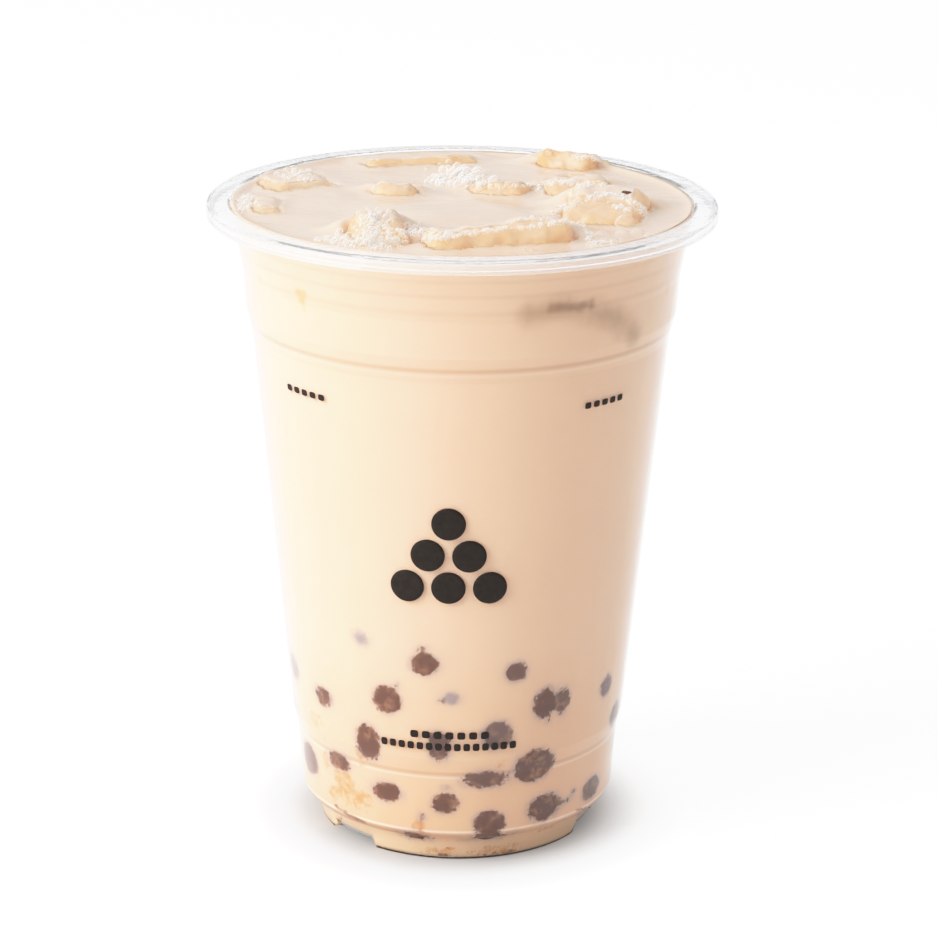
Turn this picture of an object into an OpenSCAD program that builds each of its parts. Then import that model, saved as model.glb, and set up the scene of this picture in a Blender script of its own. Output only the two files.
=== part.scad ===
// A takeaway cup of milk tea with ice: a clear thermoformed cup, the drink that
// fills it, and the pieces of ice that stand out of the drink.
//
// The origin is the centre of the foot ring, on the table. +Z is up and -Y is
// the side that faces the drinker. All sizes are in millimetres.

/* [Cup] */
// Height of the cup, from the table to the top of the rim
cup_h = 122; // [100:1:150]
// Diameter over the rolled rim
rim_d = 95; // [79:1:116]
// Diameter of the foot ring where it stands on the table
foot_d = 53; // [44:1:64]
// Thickness of the clear wall
wall = 0.7; // [0.4:0.05:1.2]

/* [Rolled rim] */
// Width of the rim, from the mouth to its outside
rim_w = 4.7; // [3.6:0.1:7]
// Height of the rim's rolled edge
rim_drop = 2.7; // [2.2:0.1:4]
// Radius of the rim's outer edges
rim_edge_r = 1; // [0.5:0.1:1.1]
// How far the end of the roll turns back in
rim_curl = 1.6; // [1:0.1:2]

/* [Mouth and upper band] */
// Depth of the flare below the top of the rim
flare_h = 8.2; // [6:0.1:10]
// How far the wall leans out over the flare
flare_out = 1.9; // [1:0.1:2.5]
// Height of the soft ring under the flare
ring_h = 4.6; // [3:0.1:6]
// How far the wall leans out over the soft ring
ring_out = 0.85; // [0.3:0.05:1.2]
// Height of the straight upper band
high_band_h = 6.9; // [5:0.1:9]
// How far the wall leans out over the upper band
high_band_out = 0.45; // [0.2:0.05:0.8]
// Height of the upper stacking step
high_step_h = 4.7; // [3:0.1:6]
// How far the wall leans out over the upper stacking step
high_step_out = 1.2; // [0.6:0.1:1.6]

/* [Foot and lower band] */
// Height of the foot, up to the groove above it
foot_h = 5.2; // [4:0.1:7]
// How far the foot's wall leans out
foot_out = 1.3; // [0.5:0.1:2]
// Radius of the round shoulder above the groove
shoulder_r = 2.5; // [1.8:0.1:3.2]
// Radius of the foot's lower edge
foot_edge_r = 0.5; // [0.3:0.1:0.8]
// Width of the flat ring that the cup stands on
foot_ring_w = 3.2; // [2.4:0.1:4.5]
// Height of the base panel above the table
base_rise = 2; // [1:0.1:3]
// Height of the lower band, from the shoulder to the lower stacking step
low_band_h = 11; // [8:0.5:16]
// How far the wall leans out over the lower band
low_band_out = 0.8; // [0.3:0.1:1.2]
// Height of the lower stacking step
low_step_h = 3.8; // [3:0.1:6]
// How far the wall leans out over the lower stacking step
low_step_out = 0.9; // [0.5:0.1:1.4]
// Number of vent notches in the foot
notch_count = 3; // [2:1:5]
// Width of a vent notch, in degrees round the cup
notch_wide = 26; // [12:1:34]
// Height of a vent notch
notch_h = 2; // [1:0.1:3]
// Turn of the first vent notch from the +X side
notch_turn = 221; // [0:1:359]

/* [Drink and ice] */
// Depth of the drink's level below the top of the rim
fill_drop = 1.1; // [0.8:0.1:12]
// How deep the large pieces of ice reach into the drink
ice_deep = 14; // [8:0.5:18]
// How deep the small chip of ice reaches into the drink
chip_deep = 2.5; // [2:0.1:4]
// Room between a piece of ice and the wall, and between two pieces
ice_gap = 0.9; // [0.5:0.1:1.5]
// Width of the melted bevels on the ice
ice_bevel = 1.6; // [1:0.1:2]

/* [Hidden] */
$fn = 96;
// Small overshoot that keeps cuts clear of the faces they pass
over = 1;
// How far the inner forms run on above the rim
head_room = 12;

foot_r = foot_d / 2;
rim_r = rim_d / 2;
// Radii of the wall's outside, worked out from the foot upwards
foot_top_r = foot_r + foot_out;
shoulder_top_r = foot_top_r + shoulder_r;
low_band_r = shoulder_top_r + low_band_out;
low_step_r = low_band_r + low_step_out;
// and from the mouth downwards
lip_r = rim_r - rim_w + wall;
ring_r = lip_r - flare_out;
high_band_r = ring_r - ring_out;
high_step_r = high_band_r - high_band_out;
body_top_r = high_step_r - high_step_out;
// Heights of the same places
shoulder_z = foot_h + shoulder_r;
low_band_z = shoulder_z + low_band_h;
low_step_z = low_band_z + low_step_h;
flare_z = cup_h - flare_h;
ring_z = flare_z - ring_h;
high_step_z = ring_z - high_band_h;
body_top_z = high_step_z - high_step_h;
// The drink's level, and the inner radius of the mouth there
level = cup_h - fill_drop;
level_r = lip_r - wall - flare_out * fill_drop / flare_h;
// Radius of the recess under the base
recess_r = foot_r - foot_ring_w;

// The ice that stands out of the drink, laid out for a surface of this radius.
layout_r = 42.5;
layout_scale = level_r / layout_r;
// Each row: name, place to the right and to the back, length, width, how far it
// stands out, turn about +Z, then how many degrees its back edge is tipped up
// and its right side is tipped down.
ICE = [
    ["ice_front", 6.5, -28.5, 27, 9.5, 3.2, 15, 4, -4],
    ["ice_peak", -15.6, -26.5, 10, 14, 3.6, 15, 14, 6],
    ["ice_right", 26, -7, 15, 18, 3.4, -10, 10, 3],
    ["ice_middle", 7, 10.4, 12, 8, 2.2, -22, 4, 0],
    ["ice_ledge", 22.2, 11, 13.5, 9.5, 2.8, 8, 5, -3],
    ["ice_chip", 22, 22.4, 7, 4.5, 1.3, -6, 6, 4],
    ["ice_back", 20, 32, 13, 6.5, 3.4, -20, 4, 4],
    ["ice_rear", -8.2, 34.4, 24, 6.5, 1.9, 12, 5, 0],
    ["ice_left", -32.5, 15.5, 14, 14, 2, 25, 3, 4],
    ["ice_sliver", -37, -3.6, 6.5, 14, 1.8, 4, 2, 8],
    ["ice_crown", -12.5, 8, 9.5, 6.5, 2.6, -10, 9, 0]
];

// Points along an arc in the outline's plane, from angle a to angle b.
function arc(r, z, radius, a, b, steps = 10) =
    [for (i = [0 : steps])
        let (t = a + (b - a) * i / steps)
            [r + radius * cos(t), z + radius * sin(t)]];

// Half outline of the cup's form, set in by inset: 0 gives the outside, up to
// the rim's top, and wall gives the inside, run on above the mouth.
function half_outline(inset) = concat(
    [[0, inset]],
    inset == 0
        ? arc(foot_r - foot_edge_r, foot_edge_r, foot_edge_r, -90, 0, 4)
        : [[foot_r - inset, inset]],
    [[foot_top_r - inset, foot_h + inset]],
    arc(foot_top_r, shoulder_z, shoulder_r - inset, -85, 0),
    [
        [low_band_r - inset, low_band_z],
        [low_step_r - inset, low_step_z],
        [body_top_r - inset, body_top_z],
        [high_step_r - inset, high_step_z],
        [high_band_r - inset, ring_z],
        [ring_r - inset, flare_z],
        [lip_r - inset, cup_h]
    ],
    inset == 0
        ? [[0, cup_h]]
        : [[lip_r - inset, cup_h + head_room], [0, cup_h + head_room]]);

// The cup's form as a solid of revolution, set in by inset.
module form(inset) {
    rotate_extrude() polygon(half_outline(inset));
}

// The recess under the base and the vent notches in the foot. thick is the
// plastic left over them, so 0 is the space itself.
module under_foot(thick) {
    translate([0, 0, -over])
        cylinder(r = recess_r + thick, h = base_rise + thick + over);
    extra = thick / foot_r * 180 / PI;
    for (i = [0 : notch_count - 1])
        rotate(notch_turn + i * 360 / notch_count - notch_wide / 2 - extra)
            rotate_extrude(angle = notch_wide + 2 * extra)
                translate([recess_r - over, -over])
                    square([foot_out + foot_ring_w + 3 * over, notch_h + thick + over]);
}

// The space inside the cup.
module cavity() {
    difference() {
        form(wall);
        under_foot(wall);
    }
}

// Section of the rolled rim: a flat top, a rounded outer edge and an end that
// turns back in, open underneath.
module rim_section() {
    inner_r = rim_r - rim_w;
    low_z = cup_h - rim_drop;
    difference() {
        union() {
            translate([inner_r, low_z])
                square([rim_w - rim_edge_r, rim_drop]);
            translate([rim_r - 2 * rim_edge_r, low_z + rim_edge_r])
                square([2 * rim_edge_r, rim_drop - 2 * rim_edge_r]);
            for (z = [low_z + rim_edge_r, cup_h - rim_edge_r])
                translate([rim_r - rim_edge_r, z]) circle(r = rim_edge_r);
        }
        // hollow of the roll
        translate([inner_r - over, low_z + wall])
            square([rim_w - wall + over, rim_drop - 2 * wall]);
        // mouth of the roll, between its end and the wall
        translate([inner_r - over, low_z - over])
            square([rim_w - rim_curl + over, 2 * over + wall]);
    }
}

module cup() {
    color("whitesmoke", 0.35)
        difference() {
            union() {
                form(0);
                rotate_extrude() rim_section();
            }
            cavity();
            under_foot(0);
        }
}

// A block with all its edges bevelled, centred on the origin.
module bevelled_block(x, y, z, bevel) {
    xy = bevel_side(x, y, bevel);
    yz = bevel_side(y, z, bevel);
    xz = bevel_side(x, z, bevel);
    intersection() {
        cube([x, y, z], center = true);
        rotate([0, 0, 45]) cube([xy, xy, 2 * z], center = true);
        rotate([45, 0, 0]) cube([2 * x, yz, yz], center = true);
        rotate([0, 45, 0]) cube([xz, 2 * y, xz], center = true);
    }
}

// Side of the turned square that leaves the bevel on a rectangle of sides a, b.
function bevel_side(a, b, bevel) = sqrt(2) * ((a + b) / 2 - bevel);

// The form of one piece of ice from its row of ICE, kept off the wall by ice_gap.
module ice_form(row) {
    deep = row[0] == "ice_chip" ? chip_deep : ice_deep;
    size_x = row[3] * layout_scale - ice_gap;
    size_y = row[4] * layout_scale - ice_gap;
    size_z = deep + row[5];
    intersection() {
        form(wall + ice_gap);
        translate([row[1] * layout_scale, row[2] * layout_scale, level + row[5] - size_z / 2])
            rotate([row[7], row[8], row[6]])
                bevelled_block(size_x, size_y, size_z, ice_bevel);
    }
}

module ice(row) {
    color("moccasin") ice_form(row);
}

module milk_tea() {
    color("bisque")
        difference() {
            cavity();
            translate([-rim_r, -rim_r, level])
                cube([rim_d, rim_d, fill_drop + head_room + over]);
            for (row = ICE) ice_form(row);
        }
}

cup();
milk_tea();
for (row = ICE)
    ice(row);
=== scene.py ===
# %% [markdown]
# # Iced milk tea with tapioca pearls, in a clear takeaway cup
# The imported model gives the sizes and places. It is loaded first and never moved. The
# pieces made below stand in for its plain solids: a clear cup, the drink that fills it,
# the pearls at its bottom, the ice and the froth on top, and the print on the cup.

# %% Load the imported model
import math

import bpy
import numpy as np
from mathutils import Matrix, Vector
from mathutils.bvhtree import BVHTree


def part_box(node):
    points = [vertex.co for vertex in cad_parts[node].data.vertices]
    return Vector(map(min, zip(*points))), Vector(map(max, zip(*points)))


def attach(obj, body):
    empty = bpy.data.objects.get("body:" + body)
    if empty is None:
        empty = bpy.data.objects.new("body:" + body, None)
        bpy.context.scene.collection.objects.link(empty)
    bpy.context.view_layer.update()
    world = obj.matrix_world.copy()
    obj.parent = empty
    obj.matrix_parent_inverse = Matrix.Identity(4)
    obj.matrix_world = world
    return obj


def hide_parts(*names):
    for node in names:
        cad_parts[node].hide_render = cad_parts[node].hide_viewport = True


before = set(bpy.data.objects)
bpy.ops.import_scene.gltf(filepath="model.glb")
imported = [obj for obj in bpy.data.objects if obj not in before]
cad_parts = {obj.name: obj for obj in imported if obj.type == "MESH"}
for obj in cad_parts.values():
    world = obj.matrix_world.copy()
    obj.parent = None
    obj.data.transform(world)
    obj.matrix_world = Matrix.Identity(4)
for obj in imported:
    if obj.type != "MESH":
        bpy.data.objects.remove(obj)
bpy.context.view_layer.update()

MM = 0.001
cup_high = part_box("cup")[1]
tea_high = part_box("milk_tea")[1]
CUP_TOP = cup_high.z / MM
RIM_R = cup_high.x / MM
LEVEL = tea_high.z / MM
print("cup", round(CUP_TOP, 2), "mm tall, rim radius", round(RIM_R, 2), "drink up to", round(LEVEL, 2))

# %% [markdown]
# ## The camera
# A cup looks right through a long lens from a little above: its upright sides stay almost
# parallel, and the drink's surface still shows as a flat oval.
# The camera looks down by about eighteen degrees and leans by half a degree.

# %% Camera
CAMERA_PLACE = Vector((0, -0.5704, 0.2553))
CAMERA_DOWN = math.radians(17.795)
CAMERA_LEAN = math.radians(0.571)
camera_data = bpy.data.cameras.new("camera")
camera_data.lens = 120.6
camera_data.shift_x = 0.0097
camera_data.shift_y = -0.0166
camera = bpy.data.objects.new("camera", camera_data)
camera.matrix_world = (
    Matrix.Translation(CAMERA_PLACE)
    @ Matrix.Rotation(math.pi / 2 - CAMERA_DOWN, 4, "X")
    @ Matrix.Rotation(CAMERA_LEAN, 4, "Z")
)
bpy.context.scene.collection.objects.link(camera)
bpy.context.scene.camera = camera
print("camera", round(CAMERA_PLACE.length, 3), "m from the foot of the cup")

# %% [markdown]
# ## Small helpers
# Blender's operators act on whatever is selected, so every step first deselects all and
# then picks its own object. Colours are picked as display values and turned into the
# linear values that shaders use. Turned shapes start as an outline that is spun. Shader
# nodes are made by short functions that take plain values and other nodes' outputs alike.


# %% Helpers for objects
def work_on(piece):
    """Makes piece the only selected object and the active one."""
    bpy.ops.object.select_all(action="DESELECT")
    piece.select_set(True)
    bpy.context.view_layer.objects.active = piece


def edit_all():
    """Opens the active piece in edit mode, with all of it selected."""
    bpy.ops.object.mode_set(mode="EDIT")
    bpy.ops.mesh.select_all(action="SELECT")


def apply_modifier(piece, kind, **settings):
    """Gives the active piece a modifier and applies it at once."""
    made = piece.modifiers.new(kind.lower(), kind)
    for key, value in settings.items():
        setattr(made, key, value)
    bpy.ops.object.modifier_apply(modifier=made.name)


def points_of(piece):
    """The piece's vertices as rows of x, y, z in metres."""
    values = np.empty(len(piece.data.vertices) * 3)
    piece.data.vertices.foreach_get("co", values)
    return values.reshape(-1, 3)


def put_points(piece, points):
    """Moves the piece's vertices to points."""
    piece.data.vertices.foreach_set("co", np.asarray(points, dtype=float).ravel())
    piece.data.update()


def store(piece, name, values):
    """Keeps one number for each vertex, for the materials to read."""
    layer = piece.data.attributes.new(name, "FLOAT", "POINT")
    layer.data.foreach_set("value", np.asarray(values, dtype=np.float32))


def shape_of(piece):
    """The points and faces of a modelled piece, which is then removed."""
    shape = points_of(piece), np.array([face.vertices[:] for face in piece.data.polygons])
    bpy.data.objects.remove(piece)
    return shape


def colour(red, green, blue):
    """A display colour, 0 to 255, as the linear colour that shaders want."""
    shares = [v / 255 for v in (red, green, blue)]
    return tuple(v / 12.92 if v <= 0.04045 else ((v + 0.055) / 1.055) ** 2.4 for v in shares) + (1,)


def soften(values, low, high):
    """0 below low, 1 above high, and a smooth rise between them."""
    share = np.clip((values - low) / (high - low), 0, 1)
    return share * share * (3 - 2 * share)


# %% Helpers for turned shapes
TINY = 0.000001


def rounded(corners, steps=6):
    """The outline through corners (radius, height, rounding), with each corner rounded, in mm."""
    outline = []
    for i, (radius, height, rounding) in enumerate(corners):
        here = Vector((radius, height))
        if rounding == 0 or i in (0, len(corners) - 1):
            outline.append(here)
            continue
        before = Vector(corners[i - 1][:2]) - here
        after = Vector(corners[i + 1][:2]) - here
        half_angle = before.angle(after) / 2
        cut = min(rounding / math.tan(half_angle), 0.45 * before.length, 0.45 * after.length)
        start = here + before.normalized() * cut
        end = here + after.normalized() * cut
        for step in range(steps + 1):
            share = step / steps
            outline.append(start.lerp(here, share).lerp(here.lerp(end, share), share))
    return outline


def turned(name, outline, steps):
    """A closed shape of revolution, spun from an outline in mm that starts and ends on the axis."""
    line = bpy.data.curves.new(name, "CURVE")
    line.dimensions = "3D"
    spline = line.splines.new("POLY")
    spline.points.add(len(outline) - 1)
    for point, (radius, height) in zip(spline.points, outline):
        point.co = (radius * MM, 0, height * MM, 1)
    piece = bpy.data.objects.new(name, line)
    bpy.context.scene.collection.objects.link(piece)
    work_on(piece)
    bpy.ops.object.convert(target="MESH")
    piece = bpy.context.object
    apply_modifier(
        piece, "SCREW", angle=2 * math.pi, steps=steps, render_steps=steps,
        use_merge_vertices=True, merge_threshold=TINY,
    )
    edit_all()
    bpy.ops.mesh.remove_doubles(threshold=TINY)
    bpy.ops.mesh.normals_make_consistent(inside=False)
    bpy.ops.object.mode_set(mode="OBJECT")
    bpy.ops.object.shade_smooth()
    print(name, len(piece.data.polygons), "faces")
    return piece


def round_place(points):
    """Angle from the front towards +X in degrees, radius and height in mm, of rows of x, y, z."""
    angle = np.degrees(np.arctan2(points[:, 0], -points[:, 1]))
    radius = np.hypot(points[:, 0], points[:, 1]) / MM
    return angle, radius, points[:, 2] / MM


# %% Helpers for shaders
def plug(tree, socket, value):
    """Links a socket to another node's output, or sets it to a plain value."""
    if isinstance(value, bpy.types.NodeSocket):
        tree.links.new(value, socket)
    else:
        socket.default_value = value


def node(tree, kind, *plugs, **values):
    """A shader node: values give its settings and inputs by name, plugs its inputs in order."""
    made = tree.nodes.new("ShaderNode" + kind)
    for key, value in values.items():
        if hasattr(made, key):
            setattr(made, key, value)
        else:
            plug(tree, made.inputs[key.replace("_", " ")], value)
    for socket, value in zip(made.inputs, plugs):
        plug(tree, socket, value)
    return made


def maths(tree, operation, *plugs):
    """The output of a Math node."""
    return node(tree, "Math", *plugs, operation=operation).outputs[0]


def times(tree, first, second):
    """The output of a product."""
    return maths(tree, "MULTIPLY", first, second)


def ramp(tree, value, start, end, low=0, high=1, soft=False):
    """The output of a ramp: low up to start, high from end on, straight or soft between them."""
    kind = "SMOOTHSTEP" if soft else "LINEAR"
    return node(tree, "MapRange", value, start, end, low, high, interpolation_type=kind).outputs["Result"]


def place_on(tree):
    """The Object coordinates, which keep a pattern in its place on the piece."""
    return node(tree, "TexCoord").outputs["Object"]


def mixed(tree, share, first, second):
    """The output of a colour mix. first and second are colours or outputs of other nodes."""
    mix = node(tree, "Mix", share, data_type="RGBA")
    plug(tree, mix.inputs[6], first)
    plug(tree, mix.inputs[7], second)
    return mix.outputs[2]


def new_finish(name):
    """A new material with its node tree and its main shader."""
    finish = bpy.data.materials.new(name)
    finish.use_nodes = True
    print("finish", name)
    return finish, finish.node_tree, finish.node_tree.nodes["Principled BSDF"]


def set_up(tree, shader, **values):
    """Sets or links the sockets of a shader by name."""
    for key, value in values.items():
        plug(tree, shader.inputs[key.replace("_", " ")], value)


# %% [markdown]
# ## The stage
# The cup stands on a plain white table in a studio. Soft light comes from all round and
# a large window stands at the left, so the milk glows almost white there and falls off
# into shade on the right. The sky is dark at both sides, low down, and that shows only in
# gloss and glass: it draws the dark lines along the edges of the clear rim. The
# view's response curve has a soft shoulder, so that bright milk turns to cream instead of
# orange. The table glows by itself, so it stays white, and less so close to the foot, where
# the cup keeps the light off it.

# %% View
SHOULDER = [(0.6, 0.6), (0.84, 0.765), (1.03, 0.865), (1.24, 0.93), (1.5, 0.955), (1.7, 0.97), (1.9, 1.0)]
BRIGHTEST = 4
view = bpy.context.scene.view_settings
view.view_transform = "Standard"
view.look = "None"
view.use_curve_mapping = True
response = view.curve_mapping
response.clip_max_x = BRIGHTEST
response.clip_max_y = BRIGHTEST
response.initialize()
curve = response.curves[3]
curve.points[-1].location = (BRIGHTEST, 1)
for light_in, light_out in SHOULDER:
    curve.points.new(light_in, light_out)
for point in curve.points:
    point.handle_type = "VECTOR"
response.update()

# %% Table
TABLE_SIZE = 6
TABLE_GAP = 0.00003
# Near the foot the table's glow drops and its colour turns grey: a painted contact shadow.
TABLE_GLOW_NEAR = 0.1
TABLE_GLOW_FAR = 1.3
TABLE_IN_GLOSS = 0.82
TABLE_SHADOW_GREY = 0.42
TABLE_GREY_FAR = 0.8
SHADE_FROM = 0.023
SHADE_TO = 0.046
bpy.ops.mesh.primitive_grid_add(
    x_subdivisions=8, y_subdivisions=8, size=TABLE_SIZE, location=(0, 0, -TABLE_GAP)
)
table = bpy.context.object
table.name = "table"
table_paint, tree, shader = new_finish("white_table")
path = node(tree, "LightPath")
reach = node(tree, "VectorMath", place_on(tree), operation="LENGTH").outputs["Value"]
glow = ramp(tree, reach, SHADE_FROM, SHADE_TO, TABLE_GLOW_NEAR, TABLE_GLOW_FAR, soft=True)
on_matt = maths(tree, "SUBTRACT", 1, path.outputs["Is Diffuse Ray"])
in_gloss = ramp(tree, path.outputs["Is Camera Ray"], 0, 1, TABLE_IN_GLOSS, 1)
set_up(
    tree, shader,
    Base_Color=ramp(tree, reach, SHADE_FROM, SHADE_TO, TABLE_SHADOW_GREY, TABLE_GREY_FAR, soft=True),
    Roughness=0.9,
    Specular_IOR_Level=0.1,
    Emission_Color=(1, 1, 1, 1),
    Emission_Strength=times(tree, glow, times(tree, on_matt, in_gloss)),
)
table.data.materials.append(table_paint)

# %% Sky
SKY_ON_MATT = 0.475
SKY_IN_GLOSS = 1.05
SKY_SEEN = 1.05
HORIZON = 0.65
DARK_SIDE = 0.06
sky = bpy.data.worlds.new("soft_sky")
bpy.context.scene.world = sky
sky.use_nodes = True
tree = sky.node_tree
path = node(tree, "LightPath")
direction = node(tree, "SeparateXYZ", node(tree, "TexCoord").outputs["Generated"])
to_side = maths(tree, "ABSOLUTE", direction.outputs["X"])
low_sky = ramp(tree, to_side, 0.45, 0.8, SKY_IN_GLOSS * HORIZON, SKY_IN_GLOSS * DARK_SIDE, soft=True)
in_gloss = ramp(tree, direction.outputs["Z"], 0.02, 0.3, low_sky, SKY_IN_GLOSS, soft=True)
on_matt = node(tree, "Mix", Factor=path.outputs["Is Diffuse Ray"], A=in_gloss, B=SKY_ON_MATT)
glow = node(
    tree, "Mix", Factor=path.outputs["Is Camera Ray"], A=on_matt.outputs["Result"], B=SKY_SEEN
)
set_up(tree, tree.nodes["Background"], Color=(1, 1, 1, 1), Strength=glow.outputs["Result"])
print("sky", SKY_ON_MATT, "on matt faces,", SKY_IN_GLOSS, "in gloss")


# %% Lights
def window(name, place, aim, width, height, glow):
    """A soft rectangular light. glow is its brightness as seen in a mirror."""
    light = bpy.data.lights.new(name, "AREA")
    light.shape = "RECTANGLE"
    light.size = width
    light.size_y = height
    light.energy = glow * math.pi * width * height
    lamp = bpy.data.objects.new(name, light)
    look = Vector(aim) - Vector(place)
    lamp.matrix_world = Matrix.Translation(place) @ look.to_track_quat("-Z", "Y").to_matrix().to_4x4()
    bpy.context.scene.collection.objects.link(lamp)
    lamp.visible_camera = False
    print(name, round(light.energy, 2), "W")


window("key_window", place=(-0.86, -0.40, 0.62), aim=(0, 0, 0.09), width=0.8, height=0.8, glow=7.0)

# %% [markdown]
# ## The cup's form
# The cup is one sheet of clear plastic, drawn into a mould, so its inside follows its
# outside at the thickness of the wall. One list of corners therefore serves three
# times: for the outside, for the inside, and for the drink, which reaches a tenth of a
# millimetre into the wall so that no film of air shows between them.

# %% Outline of the wall
WALL = 0.7
REACH = 0.1
FOOT_R = 26.5
FOOT_H = 5.2
FOOT_TOP_R = 27.8
SHOULDER_R = 2.5
SHOULDER_Z = FOOT_H + SHOULDER_R
BASE_RISE = 2.0
RECESS_R = 23.3
NOTCH_H = 2.0
NOTCH_HALF = 13
NOTCH_ANGLES = (-49, 71, 191)
RIM_IN = 4.7
LIP_R = RIM_R - RIM_IN + WALL


def wall_corners(inset):
    """Corners of the wall from the groove above the foot up to the mouth, set in by inset."""
    shoulder = [
        (FOOT_TOP_R + (SHOULDER_R - inset) * math.cos(a), SHOULDER_Z + (SHOULDER_R - inset) * math.sin(a), 0)
        for a in np.radians(np.linspace(-85, 0, 9))
    ]
    return shoulder + [
        (31.1 - inset, 18.7, 0.4),
        (32.0 - inset, 22.5, 0.5),
        (39.1 - inset, CUP_TOP - 24.4, 0.4),
        (40.3 - inset, CUP_TOP - 19.7, 1.2),
        (40.75 - inset, CUP_TOP - 12.8, 1.2),
        (41.6 - inset, CUP_TOP - 8.2, 1.2),
        (LIP_R - inset, CUP_TOP, 0),
    ]


WALL_HEIGHTS = [c[1] for c in wall_corners(0)]
WALL_RADII = [c[0] for c in wall_corners(0)]


def wall_radius(height, inset=0):
    """Radius of the wall at a height above the groove, set in by inset."""
    return np.interp(height, WALL_HEIGHTS, WALL_RADII) - inset


print("wall radius half way up", round(float(wall_radius(CUP_TOP / 2)), 2), "mm")

# %% [markdown]
# ## The clear cup
# A spun outline gives the true turned form: the outside, over the rolled rim, and down
# the inside again, all as one closed skin. The rim is a roll that is open underneath,
# and its thin walls catch the light as rings. The vent notches in the foot are pressed
# up out of the spun form, because a mould leaves them as soft dents and not as cuts.

# %% Cup skin
RIM_DROP = 2.7
ROLL_WALL = 0.75
roll_low = CUP_TOP - RIM_DROP
outside = (
    [(0, BASE_RISE, 0), (RECESS_R, BASE_RISE, 0.8), (RECESS_R + 0.3, 0, 0.3)]
    + [(FOOT_R, 0, 0.6), (FOOT_TOP_R, FOOT_H, 0.15)]
    + wall_corners(0)[:-1]
    + [(LIP_R - 0.1, CUP_TOP - ROLL_WALL, 0.4)]
    + [(RIM_R - ROLL_WALL, CUP_TOP - ROLL_WALL, 0.7), (RIM_R - ROLL_WALL, roll_low + ROLL_WALL, 0.3)]
    + [(RIM_R - 1.5, roll_low + ROLL_WALL - 0.05, 0.2), (RIM_R - 1.5, roll_low + 0.1, 0.2)]
    + [(RIM_R, roll_low, 0.8), (RIM_R, CUP_TOP, 1.0)]
)
inside = (
    [(LIP_R - WALL + 0.1, CUP_TOP, 0.9)]
    + wall_corners(WALL)[:-1][::-1]
    + [(FOOT_TOP_R - WALL, FOOT_H + WALL, 0.1), (FOOT_R - WALL, WALL, 0.4)]
    + [(RECESS_R + WALL, WALL, 0.4), (RECESS_R + WALL, BASE_RISE + WALL, 0.4), (0, BASE_RISE + WALL, 0)]
)
CUP_STEPS = 288
cup = turned("clear_cup", rounded(outside + inside), CUP_STEPS)

# %% Vent notches
def press_notches(piece, lift, part=None, fade_in=0.8, fade_out=0.8):
    """Presses the vent notches up out of a spun form's foot, or out of a part of its points."""
    points = points_of(piece)
    angle, radius, height = round_place(points)
    if part is None:
        part = radius > RECESS_R - 1
    for notch in NOTCH_ANGLES:
        away = np.abs((angle - notch + 180) % 360 - 180)
        floor = (NOTCH_H + lift) * (1 - soften(away, NOTCH_HALF - fade_in, NOTCH_HALF + fade_out))
        low = part & (height < floor)
        points[low, 2] = floor[low] * MM
    put_points(piece, points)


angle, radius, height = round_place(points_of(cup))
inner_foot = (radius < FOOT_R - WALL + 0.01) & (radius > RECESS_R + 0.4) & (height > 0.5)
press_notches(cup, 0)
press_notches(cup, WALL, part=inner_foot, fade_in=0.4, fade_out=1.6)
print("points of the foot's inside", int(inner_foot.sum()))


# %% [markdown]
# ## Node groups for the finishes
# Three effects return in the finishes. The first turns a stored distance into a mask with
# a torn edge, as a milk film leaves round a pearl. The second is a fine mottle that breaks
# up a flat colour. The third is a soft line round the cup at one height, for the painted
# shade in the creases of its steps and the painted glints beside them. Each is built once,
# as a group with named sockets.

# %% Group for torn edges
def new_group(name, inputs, output):
    """A shader group with named number inputs, their outputs inside it, and its output socket."""
    tree = bpy.data.node_groups.new(name, "ShaderNodeTree")
    for label, value in inputs.items():
        socket = tree.interface.new_socket(label, in_out="INPUT", socket_type="NodeSocketFloat")
        socket.default_value = value
    tree.interface.new_socket(output, in_out="OUTPUT", socket_type="NodeSocketFloat")
    print("group", name, "with inputs", list(inputs))
    given = tree.nodes.new("NodeGroupInput").outputs
    return tree, given, tree.nodes.new("NodeGroupOutput").inputs[output]


def noise(tree, grain, detail, roughness):
    """The output of a noise that stays in its place on the piece."""
    made = node(tree, "TexNoise", Vector=place_on(tree), Scale=grain, Detail=detail, Roughness=roughness)
    return made.outputs["Fac"]


torn_edge, given, result = new_group(
    "torn_edge", {"Distance": 0, "Wobble": 0.5, "Grain": 900, "Softness": 0.1}, "Mask"
)
strayed = ramp(torn_edge, noise(torn_edge, given["Grain"], 7, 0.82), 0.3, 0.7, -1, 1)
moved = maths(torn_edge, "MULTIPLY_ADD", strayed, given["Wobble"], given["Distance"])
inner = times(torn_edge, given["Softness"], -1)
plug(torn_edge, result, ramp(torn_edge, moved, inner, given["Softness"], 1, 0, soft=True))

# %% Group for mottle
mottle, given, result = new_group("mottle", {"Grain": 400, "Low": 0, "High": 1}, "Value")
grains = noise(mottle, given["Grain"], 6, 0.65)
plug(mottle, result, ramp(mottle, grains, 0.35, 0.65, given["Low"], given["High"]))

# %% Group for ring lines
ring_line, given, result = new_group("ring_line", {"Middle": 0.1, "Half": 0.0002}, "Mask")
upward = node(ring_line, "SeparateXYZ", place_on(ring_line)).outputs["Z"]
away = maths(ring_line, "ABSOLUTE", maths(ring_line, "SUBTRACT", upward, given["Middle"]))
plug(ring_line, result, ramp(ring_line, away, 0, given["Half"], 1, 0, soft=True))


# %% Helpers for finishes
def use_group(tree, group, **values):
    """The output of a group that is placed in a material with its own values."""
    return node(tree, "Group", node_tree=group, **values).outputs[0]


def mottled(tree, grain, low, high, first, second):
    """Base colour that goes from first to second in grains, and the output of the grains."""
    grains = use_group(tree, mottle, Grain=grain, Low=low, High=high)
    return mixed(tree, grains, first, second), grains


def stored(tree, name):
    """The output of the number that store() kept under name."""
    return node(tree, "Attribute", attribute_name=name).outputs["Fac"]


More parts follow.
